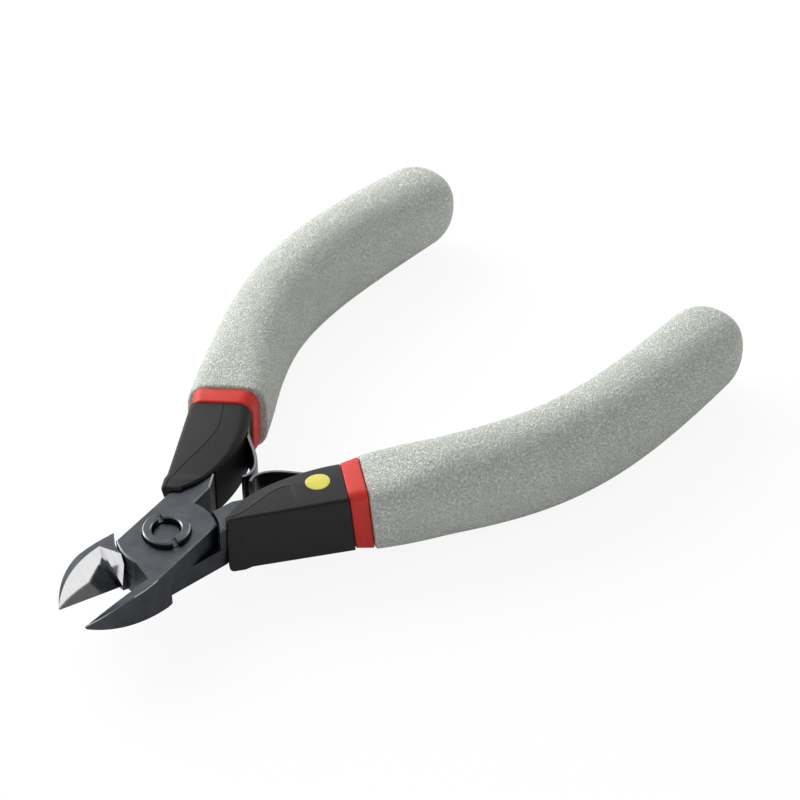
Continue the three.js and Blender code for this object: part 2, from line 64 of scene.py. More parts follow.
bl_info = {
    "name": "Side Cutters",
    "version": (1, 0, 0),
    "blender": (4, 5, 0),
    "location": "View3D > Sidebar > Cutters",
    "description": "Dresses the frame of a pair of side cutters, piece by piece",
    "category": "Object",
}

CAD_BOX = [list(corner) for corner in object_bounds()]

# Lengths are in millimetres until a mesh is placed, as in the frame's source.
MM = 0.001
SIDES = ("left", "right")

# The steel head, closed, about the pivot.
OPENING = math.radians(15.86)
HALF_WIDTH = 5.2
HALF_THICK = 3.7
LAP_RADIUS = 7.6
JAW_REACH = 19.5
EDGE_START = 8.5
EDGE_RISE = math.radians(11)
BEVEL_ANGLE = math.radians(55)
RELIEF_ANGLE = math.radians(45)
THROAT_SKEW = math.radians(24)
# Width of the bevel along each jaw's crown. Its faces take the bright edge steel, which is partly wear and
# partly a painted highlight.
CROWN_BEVEL = 0.1
WELD = 0.002
FLATNESS = math.radians(0.3)

# How the head's faces are told apart: by the z of a normal, or the cosine between two normals.
SAME_WAY = 0.999
UPRIGHT = 0.05
FALLING = (0.1, 0.999)
STEEP = math.sqrt(0.5)
STEEP_SPARE = 0.01

# Finishes of a half, in the order of its material slots.
# The second finish, on chamfers and crown bevels, is partly wear and partly a painted highlight.
OXIDE, WORN_AND_HIGHLIGHT, GROUND, THROAT = range(4)

# A handle's own frame: x along the handle from the pivot, y inward, z up from the lap plane.
HANDLE_ANGLE = math.radians(30)
HANDLE_OFFSET = 4.67
TANG_WIDTH = 4.6
TANG_TIP_WIDTH = 3.4
TANG_DEPTH = 36
TANG_FIT = 0.2
TANG_SPARE = 2
TANG_LEAVE = 7
TANG_CROTCH = math.radians(5)
NECK_XS = (9.6, 10.4)
NECK_Y = -1.85

# Bolsters: the plain face is up on the left handle and down on the right one.
BOLSTER_START = 9.55
BOLSTER_END = 28
BOLSTER_WIDTH = 9.7
PLAIN_FACE = {"flare": 0.2, "nose_wall": 1.05, "wall": 1.8, "drop": 0.6, "settle": 19}
GUARD_FACE = {"flare": 1.7, "nose_wall": 0.5, "wall": 1.55, "drop": 0.2, "settle": 25}
GUARD_LENGTH = 3
GUARD_OUT = 0.25
GUARD_DOWN = 0.15
NOSE_WIDTH = 1.5
NOSE_LEAD = (2, 3.95)
SWELL_LEAD = (9.5, 0.5)
NOSE_ROUND = 0.7
NOSE_EDGE = 0.4
BOLSTER_ROUND = 0.8
BOLSTER_INNER_ROUND = 1.9
RING_CROWD = 1.2
RIDGE_Y = 0.5
RIDGE_INSET = 0.7
LINE_FADE = (18, 21)
DOT_PLACE = (23.6, 0.55)
DOT_CAST_FROM = 20
INK = 0.035
INK_EDGE = 0.02
INK_SINK = 0.05
INK_RINGS = (0.97, 0.75, 0.5, 0.05)

# Bands and the leaning seams on either side of them.
SEAM_LEAN = 0.09
SEAM = 0.1
BAND_START = BOLSTER_END + SEAM
BAND_LENGTH = 2.9
BAND_OUTER = (4.55, 4.75)
BAND_INNER = (5.15, 5.85)
BAND_HEIGHTS = (11.3, 11.9)
BAND_SHIFT = 0.1
BAND_ROUND = 1.6
BAND_INNER_ROUND = 2.7
SLOT_ROUND = 0.1

# Grips: sizes in threes are at the start, half way and at the end.
GRIP_START = BAND_START + BAND_LENGTH + SEAM
GRIP_SPAN = 61
GRIP_SWEEP = 27
GRIP_LEADS = (29.9, 31.2)
GRIP_TILTS = (math.radians(5.9), math.radians(41.1))
GRIP_SETTLE = 10
GRIP_WIDTHS = (11.8, 12.5, 13.5)
GRIP_HEIGHTS = (13.8, 17.3, 14.5)
GRIP_COLLAR = 1.1
GRIP_COLLAR_LENGTH = 30
GRIP_SHOULDER = 14
GRIP_RISE = 1.7
GRIP_DIP = 0.2
GRIP_CAP = 7.8
GRIP_RIM = 0.4
GRIP_SQUARES = (3.6, 2.3)
BORE_SQUARE = 8
BORE_SPARE = 1.1

# Leaf springs, from a foot in the bolster to a free end past the crest.
SPRING_THICK = 0.6
SPRING_WIDTH = 6.2
SPRING_EDGE = 0.12
SPRING_GAP = 0.4
SPRING_FIT = 0.3
CREST_REACH = 18
CREST_LEAD = 3.2
FOOT_LENGTH = 2.4
FOOT_SINK = 0.35
FOOT_END = 1
FOOT_LEAD = 3.6
FOOT_TILT = math.radians(15)
FREE_END = (1.2, 0.4)

# The stage is in metres. The room's bright walls end between two heights, given as a direction's z.
FLOOR_REACH = 2
FLOOR_GAP = 0.00005
AIM = (-0.04, 0, 0)
BACK_LIGHT_PLACE = (-0.29, -0.43, 0.37)
BACK_LIGHT_SIZE = 0.56
LEFT_LIGHT_PLACE = (0.02, -0.58, 0.36)
LEFT_LIGHT_SIZE = 0.5
WALL_TOP = (0.25, 0.5)
WALL_LEVEL = 1.0
CEILING_LEVEL = 0.12
PAPER_SEEN = 0.9
PAPER_MIRRORED = 0.15
CAMERA_LENS = 101.8
CAMERA_PLACE = (0.16292, 0.18976, 0.23624)
CAMERA_AZIMUTH = math.radians(131.37)
CAMERA_ELEVATION = math.radians(39.40)


def linear(code):
    """Linear RGBA of an sRGB hex colour."""
    channels = [int(code[i : i + 2], 16) / 255 for i in (1, 3, 5)]
    curve = [c / 12.92 if c <= 0.04045 else ((c + 0.055) / 1.055) ** 2.4 for c in channels]
    return (*curve, 1.0)


def colour(code, name, description):
    """A colour property with an sRGB hex default."""
    return FloatVectorProperty(
        name=name,
        description=description,
        subtype="COLOR",
        size=4,
        min=0,
        max=1,
        default=linear(code),
    )


def tinted(base, share):
    """A colour made darker or lighter by a share."""
    return (*(Vector(base[:3]) * share), 1)


def length(millimetres, name, description):
    """A length property with a default in millimetres."""
    return FloatProperty(
        name=name,
        description=description,
        unit="LENGTH",
        min=0,
        precision=5,
        default=millimetres * MM,
    )


def power(watts, name, description):
    """A lamp's power property with a default in watts."""
    return FloatProperty(name=name, description=description, subtype="POWER", min=0, default=watts)


class SteelSettings(PropertyGroup):
    """Finishes of the steel pieces."""

    black: colour("#424549", "Blackened steel", "Oxide finish of the halves, the screw and the nut")
    # Bright edge steel on chamfers and jaw crowns: partly worn bare steel, partly a painted highlight.
    worn_and_highlight: colour("#b5b8ba", "Worn edge", "Steel where the oxide has rubbed off the edges")
    ground: colour("#f6f6f7", "Ground steel", "Bare faces beside the cutting edges")
    leaf: colour("#55585c", "Spring steel", "Blued leaf springs")
    grit: length(0.12, "Grinding lines", "Distance between the grinding lines")


class BolsterSettings(PropertyGroup):
    """Sizes and colour of the hard shells."""

    black: colour("#1f1f20", "Black nylon", "Moulded shell")
    line_width: length(0.16, "Ridge line", "Width of the line along each ridge")
    line_depth: length(0.1, "Ridge line depth", "Depth of the line along each ridge")
    grain: length(0.3, "Grain", "Spacing of the fine moulded grain")
    dot: length(3.8, "Dot", "Diameter of the printed dot")
    yellow: colour("#cdc63f", "Dot colour", "Printed dot on the left shell")


class BandSettings(PropertyGroup):
    """Size and colour of the bands."""

    red: colour("#cf3427", "Red polypropylene", "Moulded band")
    rim: length(0.25, "Rim", "Rounding of the band's two edges")


class GripSettings(PropertyGroup):
    """Sizes and colours of the soft grips."""

    light: colour("#cfd2cb", "Light skin", "Raised part of the skin's grain")
    # Darker colour for the grain's hollows: painted shade.
    hollow_shade: colour("#a6ada6", "Deep skin", "Hollows of the skin's grain")
    grain: length(0.5, "Grain", "Spacing of the creases in the skin")


class StageSettings(PropertyGroup):
    """Floor and light."""

    floor: colour("#fafafa", "Floor", "Paper that the tool lies on")
    key_power: power(2.2, "Back light", "Large soft light behind the tool")
    left_power: power(4.2, "Left light", "Large soft light beside the tool")
    fill: FloatProperty(
        name="Fill", description="Even light from the whole room on matt surfaces", min=0, default=0.5
    )


def add(tree, kind, settings=None, inputs=None):
    """Adds a node with its settings, and with values or links on its inputs."""
    made = tree.nodes.new(kind)
    for name, value in (settings or {}).items():
        setattr(made, name, value)
    for name, value in (inputs or {}).items():
        if isinstance(value, bpy.types.NodeSocket):
            tree.links.new(value, made.inputs[name])
        else:
            made.inputs[name].default_value = value
    return made


def new_material(name):
    """An empty node material and its tree."""
    material = bpy.data.materials.new(name)
    material.use_nodes = True
    material.node_tree.nodes.clear()
    return material, material.node_tree


def show(tree, shader):
    """Links a shader to the material's output."""
    add(tree, "ShaderNodeOutputMaterial", inputs={"Surface": shader.outputs[0]})


def grade(ramp, low, high):
    """Sets the two stops of a colour ramp, each a place and a colour."""
    for stop, (place, tint) in zip(ramp.color_ramp.elements, (low, high)):
        stop.position = place
        stop.color = tint


def per(size):
    """Texture scale that gives features of a size in metres."""
    return 1 / size


def blackened_steel(settings):
    """Forged steel, milled and then black oxidised: a dark satin metal with a faint cloudy bloom."""
    material, tree = new_material("blackened_steel")
    spot = add(tree, "ShaderNodeTexCoord").outputs["Object"]
    cloud = add(tree, "ShaderNodeTexNoise", inputs={"Vector": spot, "Scale": per(2.5 * MM), "Detail": 4})
    fine = add(tree, "ShaderNodeTexNoise", inputs={"Vector": spot, "Scale": per(0.12 * MM), "Detail": 2})
    tint = add(tree, "ShaderNodeValToRGB", inputs={"Fac": cloud.outputs["Fac"]})
    grade(tint, (0.3, tinted(settings.black, 0.8)), (0.7, tinted(settings.black, 1.15)))
    gloss = add(
        tree,
        "ShaderNodeMapRange",
        inputs={"Value": fine.outputs["Fac"], "To Min": 0.42, "To Max": 0.52},
    )
    relief = add(
        tree,
        "ShaderNodeBump",
        inputs={"Height": fine.outputs["Fac"], "Strength": 0.08, "Distance": 0.02 * MM},
    )
    shader = add(
        tree,
        "ShaderNodeBsdfPrincipled",
        inputs={
            "Base Color": tint.outputs["Color"],
            "Metallic": 1.0,
            "Roughness": gloss.outputs["Result"],
            "Normal": relief.outputs["Normal"],
        },
    )
    show(tree, shader)
    return material


def worn_and_highlighted_edge(settings):
    """The same steel where handling has rubbed the oxide from the edges, made brighter still: partly bare
    worn steel, partly a painted highlight along the edges.
    """
    material, tree = new_material("worn_and_highlighted_steel_edge")
    spot = add(tree, "ShaderNodeTexCoord").outputs["Object"]
    rub = add(tree, "ShaderNodeTexNoise", inputs={"Vector": spot, "Scale": per(0.9 * MM), "Detail": 3})
    tint = add(tree, "ShaderNodeValToRGB", inputs={"Fac": rub.outputs["Fac"]})
    grade(tint, (0.2, tinted(settings.worn_and_highlight, 0.6)), (0.7, settings.worn_and_highlight))
    shader = add(
        tree,
        "ShaderNodeBsdfPrincipled",
        inputs={"Base Color": tint.outputs["Color"], "Metallic": 1.0, "Roughness": 0.32},
    )
    show(tree, shader)
    return material


def ground_steel(settings):
    """Tool steel ground bare on a fine wheel: bright, with straight lines across the cutting edge.

    A real wheel leaves lines about a fifth as far apart: they are drawn coarser, so that they show.
    """
    material, tree = new_material("ground_tool_steel")
    spot = add(tree, "ShaderNodeTexCoord").outputs["Object"]
    lines = add(
        tree,
        "ShaderNodeMapping",
        inputs={"Vector": spot, "Scale": (per(settings.grit), per(6 * MM), per(6 * MM))},
    )
    streak = add(
        tree, "ShaderNodeTexNoise", inputs={"Vector": lines.outputs["Vector"], "Scale": 1.0, "Detail": 3}
    )
    tint = add(tree, "ShaderNodeValToRGB", inputs={"Fac": streak.outputs["Fac"]})
    grade(tint, (0.3, tinted(settings.ground, 0.88)), (0.65, settings.ground))
    gloss = add(
        tree,
        "ShaderNodeMapRange",
        inputs={"Value": streak.outputs["Fac"], "To Min": 0.05, "To Max": 0.1},
    )
    shader = add(
        tree,
        "ShaderNodeBsdfPrincipled",
        inputs={
            "Base Color": tint.outputs["Color"],
            "Metallic": 1.0,
            "Roughness": gloss.outputs["Result"],
        },
    )
    show(tree, shader)
    return material


def blued_spring(settings):
    """Rolled spring strip, hardened and blued: dark, with faint rolling lines along the strip."""
    material, tree = new_material("blued_spring_steel")
    spot = add(tree, "ShaderNodeTexCoord").outputs["Object"]
    lines = add(
        tree,
        "ShaderNodeMapping",
        inputs={"Vector": spot, "Scale": (per(5 * MM), per(5 * MM), per(0.15 * MM))},
    )
    streak = add(
        tree, "ShaderNodeTexNoise", inputs={"Vector": lines.outputs["Vector"], "Scale": 1.0, "Detail": 2}
    )
    tint = add(tree, "ShaderNodeValToRGB", inputs={"Fac": streak.outputs["Fac"]})
    grade(tint, (0, tinted(settings.leaf, 0.7)), (1, tinted(settings.leaf, 1.4)))
    shader = add(
        tree,
        "ShaderNodeBsdfPrincipled",
        inputs={"Base Color": tint.outputs["Color"], "Metallic": 1.0, "Roughness": 0.22},
    )
    show(tree, shader)
    return material


def moulded_nylon(settings):
    """Glass-filled nylon from a spark-eroded mould: near black, matt, with a fine even grain.

    The real grain is about a third as wide: it is drawn coarser, so that it breaks up the light.
    """
    material, tree = new_material("moulded_black_nylon")
    spot = add(tree, "ShaderNodeTexCoord").outputs["Object"]
    grain = add(
        tree, "ShaderNodeTexNoise", inputs={"Vector": spot, "Scale": per(settings.grain), "Detail": 3}
    )
    tint = add(tree, "ShaderNodeValToRGB", inputs={"Fac": grain.outputs["Fac"]})
    grade(tint, (0.3, tinted(settings.black, 0.85)), (0.7, tinted(settings.black, 1.15)))
    relief = add(
        tree,
        "ShaderNodeBump",
        inputs={"Height": grain.outputs["Fac"], "Strength": 0.25, "Distance": 0.03 * MM},
    )
    gloss = add(
        tree,
        "ShaderNodeMapRange",
        inputs={"Value": grain.outputs["Fac"], "To Min": 0.55, "To Max": 0.7},
    )
    shader = add(
        tree,
        "ShaderNodeBsdfPrincipled",
        inputs={
            "Base Color": tint.outputs["Color"],
            "Roughness": gloss.outputs["Result"],
            "IOR": 1.53,
            "Specular IOR Level": 0.25,
            "Normal": relief.outputs["Normal"],
        },
    )
    show(tree, shader)
    return material


def moulded_polypropylene(settings):
    """Red polypropylene, moulded in a satin tool: a soft even sheen over a barely mottled red."""
    material, tree = new_material("moulded_red_polypropylene")
    spot = add(tree, "ShaderNodeTexCoord").outputs["Object"]
    grain = add(tree, "ShaderNodeTexNoise", inputs={"Vector": spot, "Scale": per(0.4 * MM), "Detail": 2})
    tint = add(tree, "ShaderNodeValToRGB", inputs={"Fac": grain.outputs["Fac"]})
    grade(tint, (0.25, tinted(settings.red, 0.9)), (0.75, settings.red))
    relief = add(
        tree,
        "ShaderNodeBump",
        inputs={"Height": grain.outputs["Fac"], "Strength": 0.12, "Distance": 0.02 * MM},
    )
    shader = add(
        tree,
        "ShaderNodeBsdfPrincipled",
        inputs={
            "Base Color": tint.outputs["Color"],
            "Roughness": 0.5,
            "IOR": 1.49,
            "Specular IOR Level": 0.3,
            "Normal": relief.outputs["Normal"],
        },
    )
    show(tree, shader)
    return material


def foamed_vinyl(settings):
    """Soft vinyl foamed in the mould: a dull pale skin, pebbled all over by its closed cells, with painted
    shade in the hollows of its grain.

    Real cells are about half as wide: they are drawn coarser, so that they show at arm's length.
    """
    material, tree = new_material("foamed_grey_vinyl")
    spot = add(tree, "ShaderNodeTexCoord").outputs["Object"]
    drift = add(tree, "ShaderNodeTexNoise", inputs={"Vector": spot, "Scale": per(9 * MM), "Detail": 3})
    pebble = add(
        tree, "ShaderNodeTexNoise", inputs={"Vector": spot, "Scale": per(settings.grain), "Detail": 3}
    )
    off = add(tree, "ShaderNodeMath", {"operation": "SUBTRACT"}, {0: pebble.outputs["Fac"], 1: 0.5})
    away = add(tree, "ShaderNodeMath", {"operation": "ABSOLUTE"}, {0: off.outputs[0]})
    crease = add(
        tree, "ShaderNodeMapRange", inputs={"Value": away.outputs[0], "From Max": 0.09, "To Max": 0.6}
    )
    speck = add(
        tree,
        "ShaderNodeTexNoise",
        inputs={"Vector": spot, "Scale": per(0.7 * settings.grain), "Detail": 2},
    )
    height = add(
        tree,
        "ShaderNodeMath",
        {"operation": "ADD"},
        {0: crease.outputs["Result"], 1: speck.outputs["Fac"]},
    )
    tint = add(tree, "ShaderNodeValToRGB", inputs={"Fac": height.outputs[0]})
    # The grain's hollows are coloured darker than its raised parts: painted shade.
    grade(tint, (0.35, settings.hollow_shade), (0.95, settings.light))
    value = add(
        tree,
        "ShaderNodeMapRange",
        inputs={"Value": drift.outputs["Fac"], "To Min": 0.94, "To Max": 1.06},
    )
    cloudy = add(
        tree,
        "ShaderNodeHueSaturation",
        inputs={"Color": tint.outputs["Color"], "Value": value.outputs["Result"]},
    )
    relief = add(
        tree,
        "ShaderNodeBump",
        inputs={"Height": height.outputs[0], "Strength": 1.0, "Distance": 0.18 * MM},
    )
    shader = add(
        tree,
        "ShaderNodeBsdfPrincipled",
        inputs={
            "Base Color": cloudy.outputs["Color"],
            "Roughness": 0.72,
            "IOR": 1.5,
            "Specular IOR Level": 0.3,
            "Normal": relief.outputs["Normal"],
        },
    )
    show(tree, shader)
    return material


def printed_ink(settings):
    """Opaque pad-printed ink over the nylon's grain: flat yellow, slightly broken by the grain."""
    material, tree = new_material("printed_yellow_ink")
    spot = add(tree, "ShaderNodeTexCoord").outputs["Object"]
    grain = add(
        tree, "ShaderNodeTexNoise", inputs={"Vector": spot, "Scale": per(settings.grain), "Detail": 3}
    )
    tint = add(tree, "ShaderNodeValToRGB", inputs={"Fac": grain.outputs["Fac"]})
    grade(tint, (0.2, tinted(settings.yellow, 0.85)), (0.6, settings.yellow))
    shader = add(
        tree, "ShaderNodeBsdfPrincipled", inputs={"Base Color": tint.outputs["Color"], "Roughness": 0.5}
    )
    show(tree, shader)
    return material


def seen(tree, path):
    """Whether a ray comes from the camera, straight or through glass."""
    kinds = {0: path.outputs["Is Camera Ray"], 1: path.outputs["Is Transmission Ray"]}
    return add(tree, "ShaderNodeMath", {"operation": "MAXIMUM"}, kinds).outputs[0]


def white_paper(settings):
    """Seamless paper: almost white to the eye, dimmer in reflections, with the tool's faint shadow on it."""
    material, tree = new_material("white_paper")
    path = add(tree, "ShaderNodeLightPath")
    mirrored = add(
        tree,
        "ShaderNodeMath",
        {"operation": "MULTIPLY"},
        {0: path.outputs["Is Glossy Ray"], 1: PAPER_MIRRORED},
    )
    share = add(
        tree,
        "ShaderNodeMath",
        {"operation": "MULTIPLY_ADD"},
        {0: seen(tree, path), 1: PAPER_SEEN, 2: mirrored.outputs[0]},
    )
    paper = add(tree, "ShaderNodeBsdfDiffuse", inputs={"Color": settings.floor})
    white = add(tree, "ShaderNodeEmission", inputs={"Color": (1, 1, 1, 1), "Strength": 1.0})
    mixed = add(
        tree,
        "ShaderNodeMixShader",
        inputs={"Fac": share.outputs[0], 1: paper.outputs[0], 2: white.outputs[0]},
    )
    show(tree, mixed)
    return material


def to_handle(x, y):
    """A point of the closed head in the left handle's frame."""
    turned = Vector((x, y))
    turned.rotate(Matrix.Rotation(HANDLE_ANGLE - math.pi, 2))
    return turned - Vector((0, HANDLE_OFFSET))


def open_to_handle(x, y):
    """A point of the open tool, measured from its centre plane, in the left handle's frame."""
    turned = Vector((x, y))
    turned.rotate(Matrix.Rotation(OPENING / 2, 2))
    return to_handle(*turned)


def handle_place(side):
    """Where a handle's frame in millimetres lies in the open tool."""
    over = Matrix.Identity(4) if side == "left" else Matrix.Rotation(math.pi, 4, "X")
    turn = Matrix.Rotation(math.pi - HANDLE_ANGLE - OPENING / 2, 4, "Z")
    lift = Matrix.Translation((0, 0, HALF_THICK))
    return Matrix.Scale(MM, 4) @ lift @ over @ turn @ Matrix.Translation((0, HANDLE_OFFSET, 0))


def along(points, t):
    """Place and direction on a curve of control points."""
    level = list(points)
    while len(level) > 2:
        level = [a.lerp(b, t) for a, b in zip(level, level[1:])]
    return level[0].lerp(level[1], t), (level[1] - level[0]).normalized()


def through(sizes, t):
    """A smooth value through three sizes, at 0, one half and 1."""
    start, middle, end = sizes
    return start + (4 * middle - 3 * start - end) * t + 2 * (start - 2 * middle + end) * t * t


def skin(rings, loop=False):
    """Points and faces of a closed skin over rings of equally many points."""
    count = len(rings[0])
    points = [p for ring in rings for p in ring]
    faces = []
    for row in range(len(rings) if loop else len(rings) - 1):
        here = row * count
        there = (row + 1) % len(rings) * count
        for i in range(count):
            j = (i + 1) % count
            faces.append((here + i, here + j, there + j, there + i))
    if not loop:
        faces.append(tuple(reversed(range(count))))
        faces.append(tuple(range(len(points) - count, len(points))))
    return points, faces


def mesh_of(name, points, faces):
    """A mesh of points and faces."""
    mesh = bpy.data.meshes.new(name)
    mesh.from_pydata([tuple(p) for p in points], [], faces)
    mesh.update()
    return mesh


def put(name, mesh, body, slot, node, *materials):
    """Adds a finished piece that rides on a body and stands for a node of the frame, if one is given."""
    obj = bpy.data.objects.new(name, mesh)
    bpy.context.scene.collection.objects.link(obj)
    for material in materials:
        mesh.materials.append(material)
    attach(obj, body)
    if node:
        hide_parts(node)
    return obj


def shade(mesh, degrees):
    """Smooth shading, with edges sharper than an angle left crisp."""
    mesh.shade_smooth()
    mesh.set_sharp_from_angle(angle=math.radians(degrees))


def cut(mesh, *cutters):
    """The mesh with the cutters taken out of it."""
    scene = bpy.context.scene
    body = bpy.data.objects.new("cut_body", mesh)
    scene.collection.objects.link(body)
    tools = []
    for cutter in cutters:
        tool = bpy.data.objects.new("cut_tool", cutter)
        scene.collection.objects.link(tool)
        tools.append(tool)
        step = body.modifiers.new("cut", "BOOLEAN")
        step.operation = "DIFFERENCE"
        step.solver = "EXACT"
        step.object = tool
    bpy.context.view_layer.update()
    shaped = body.evaluated_get(bpy.context.evaluated_depsgraph_get())
    result = bpy.data.meshes.new_from_object(shaped)
    for spent in (body, *tools):
        bpy.data.objects.remove(spent)
    return result


def prism(name, outline, bottom, top):
    """A straight-sided solid of a counter-clockwise outline."""
    rings = [[Vector((p.x, p.y, z)) for p in outline] for z in (bottom, top)]
    return mesh_of(name, *skin(rings))


def on_crown(edge, ground_ways):
    """Whether an edge lies between the falling top of a jaw and its upright outer side."""
    if not ground_ways or len(edge.link_faces) != 2:
        return False
    low, high = sorted((face.normal for face in edge.link_faces), key=lambda normal: normal.z)
    ground = any(high.dot(way) > SAME_WAY for way in ground_ways)
    falling = FALLING[0] < high.z < FALLING[1]
    reach = min(vert.co.x for vert in edge.verts)
    return abs(low.z) < UPRIGHT and falling and not ground and reach > LAP_RADIUS * MM


def steel_from_frame(node, ground_ways):
    """A frame node's mesh, with its edges and its ground faces given their own finishes."""
    shape = bmesh.new()
    shape.from_mesh(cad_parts[node].data)
    bmesh.ops.remove_doubles(shape, verts=shape.verts, dist=WELD * MM)
    bmesh.ops.dissolve_limit(shape, angle_limit=FLATNESS, verts=shape.verts, edges=shape.edges)
    shape.normal_update()
    crowns = [edge for edge in shape.edges if on_crown(edge, ground_ways)]
    bevel = bmesh.ops.bevel(shape, geom=crowns, offset=CROWN_BEVEL * MM, segments=1, affect="EDGES")
    crown_bevels = set(bevel["faces"])
    shape.normal_update()
    for face in shape.faces:
        steep = abs(abs(face.normal.z) - STEEP) < STEEP_SPARE
        wheel = [face.normal.dot(way) > SAME_WAY for way in ground_ways]
        if any(wheel):
            face.material_index = THROAT if wheel[0] else GROUND
        else:
            # Chamfers and crown bevels take the bright edge steel: partly wear, partly a painted highlight.
            face.material_index = WORN_AND_HIGHLIGHT if steep or face in crown_bevels else OXIDE
    mesh = bpy.data.meshes.new(node + "_steel")
    shape.to_mesh(mesh)
    shape.free()
    while mesh.attributes.get("custom_normal"):
        mesh.attributes.remove(mesh.attributes["custom_normal"])
    shade(mesh, 9)
    return mesh


def ground_normals(jaw_side):
    """Outward directions of a jaw's throat, bevel and relief in the open tool."""
    rise = math.tan(EDGE_RISE)
    edge_end = Vector((EDGE_START, 0, -(JAW_REACH - EDGE_START) * rise))
    throat_top = Vector((LAP_RADIUS, 0, HALF_THICK))
    throat_line = Vector((math.sin(THROAT_SKEW), jaw_side * math.cos(THROAT_SKEW), 0))
    throat = throat_line.cross(edge_end - throat_top) * -jaw_side
    above = Vector((-rise, -jaw_side * math.tan(BEVEL_ANGLE), 1))
    below = Vector((rise, -jaw_side * math.tan(RELIEF_ANGLE), -1))
    turn = Matrix.Rotation(jaw_side * OPENING / 2, 3, "Z")
    return [(turn @ normal).normalized() for normal in (throat, above, below)]


class CUTTERS_OT_steel(Operator):
    """Dress the two halves, the pivot screw and the ring nut"""

    bl_idname = "cutters.steel"
    bl_label = "Steel"

    def execute(self, context):
        settings = context.scene.cutters_steel
        black, worn_and_highlight = blackened_steel(settings), worn_and_highlighted_edge(settings)
        ground = ground_steel(settings)
        lower = steel_from_frame("lower_half", ground_normals(-1))
        put("lower_half_steel", lower, "left_handle", "steel", "lower_half", black, worn_and_highlight, ground, ground)
        upper = steel_from_frame("upper_half", ground_normals(1))
        put("upper_half_steel", upper, "right_handle", "steel", "upper_half", black, worn_and_highlight, ground, black)
        for node in ("pivot_screw", "ring_nut"):
            mesh = steel_from_frame(node, [])
            put(node + "_steel", mesh, "left_handle", "fastener", node, black, worn_and_highlight)
        return {"FINISHED"}


def spring_line():
    """Middle line of a leaf: foot, sweep to the crest at the centre plane, curled free end."""
    foot_y = BOLSTER_WIDTH / 2 - FOOT_SINK
    foot_back = Vector((BOLSTER_END - FOOT_END, foot_y))
    foot_front = foot_back - Vector((FOOT_LENGTH, 0))
    lift = (SPRING_GAP + SPRING_THICK) / 2
    crest = open_to_handle(-CREST_REACH, lift)
    before = open_to_handle(-CREST_REACH - CREST_LEAD, lift)
    after = open_to_handle(-CREST_REACH + FREE_END[0] / 2, lift)
    end = open_to_handle(-CREST_REACH + FREE_END[0], lift + FREE_END[1])
    leave = foot_front + Vector((-math.cos(FOOT_TILT), math.sin(FOOT_TILT))) * FOOT_LEAD
    sweep_steps, curl_steps = 32, 8
    bend = (foot_front, leave, before, crest)
    sweep = [along(bend, i / sweep_steps)[0] for i in range(sweep_steps + 1)]
    curl = [along((crest, after, end), i / curl_steps)[0] for i in range(1, curl_steps + 1)]
    return [foot_back, *sweep, *curl]


def spring_outline(fit):
    """Plan of a leaf, or with a fit that of the room round it."""
    line = spring_line()
    left, right = [], []
    for i, place in enumerate(line):
        ahead = (line[min(i + 1, len(line) - 1)] - line[max(i - 1, 0)]).normalized()
        end_fit = -fit if i == 0 else fit if i == len(line) - 1 else 0
        spot = place + ahead * end_fit
        aside = Vector((-ahead.y, ahead.x)) * (SPRING_THICK / 2 + fit)
        left.append(spot + aside)
        right.append(spot - aside)
    return [*right, *reversed(left)]


class CUTTERS_OT_springs(Operator):
    """Make the two leaf springs, shaped as in the open tool; the real ones flatten as the tool closes"""

    bl_idname = "cutters.springs"
    bl_label = "Leaf springs"

    def execute(self, context):
        finish = blued_spring(context.scene.cutters_steel)
        half = SPRING_WIDTH / 2
        flat = half - SPRING_EDGE
        for side in SIDES:
            plan = spring_outline(0)
            slim = spring_outline(-SPRING_EDGE)
            levels = ((slim, -half), (plan, -flat), (plan, flat), (slim, half))
            rings = [[Vector((p.x, p.y, z)) for p in ring] for ring, z in levels]
            mesh = mesh_of(side + "_leaf", *skin(rings))
            mesh.transform(handle_place(side))
            shade(mesh, 30)
            obj = put(side + "_leaf", mesh, side + "_handle", "spring", side + "_leaf_spring", finish)
            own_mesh(obj)
        return {"FINISHED"}


def corner(x, y, z, radius, start, steps):
    """Rounded corner of a section, through a right angle."""
    turns = [start + i / steps * math.pi / 2 for i in range(steps + 1)]
    return [Vector((x, y + radius * math.cos(a), z + radius * math.sin(a))) for a in turns]


def tang_room():
    """Plan of the room that the tang and the back of the head take in a bolster."""
    out = Vector((0, -TANG_FIT))
    half = TANG_WIDTH / 2 + TANG_FIT
    crotch = Vector((-math.cos(TANG_CROTCH), math.sin(TANG_CROTCH))) * LAP_RADIUS
    past = Vector((TANG_SPARE, 0))
    return [
        to_handle(0, HALF_WIDTH) + out,
        to_handle(-TANG_LEAVE, HALF_WIDTH) + out,
        Vector((NECK_XS[0], NECK_Y - half)),
        Vector((GRIP_START, -half)) + past,
        Vector((GRIP_START, half)) + past,
        Vector((NECK_XS[1], NECK_Y + half)),
        to_handle(*crotch) - out,
        to_handle(0, 0),
    ]


def bolster_face(x, face, guard):
    """Outer side, height, drop and ridge of one face at a distance from the pivot."""
    way = (x - BOLSTER_START) / (BOLSTER_END - BOLSTER_START)
    outer = -BOLSTER_WIDTH / 2 - face["flare"] * (1 - way) - guard * GUARD_OUT
    return {
        "outer": outer,
        "height": HALF_THICK + lerp(face["nose_wall"], face["wall"], way) + guard * GUARD_DOWN,
        "drop": face["drop"] * math.sin(math.pi * way),
        "ridge": lerp(outer + RIDGE_INSET, RIDGE_Y, smoothstep(BOLSTER_START, face["settle"], x)),
    }


def lean(ring, share=1):
    """A ring leaned as the seams are, or by a share of that."""
    return [Vector((p.x - share * SEAM_LEAN * p.z, p.y, p.z)) for p in ring]


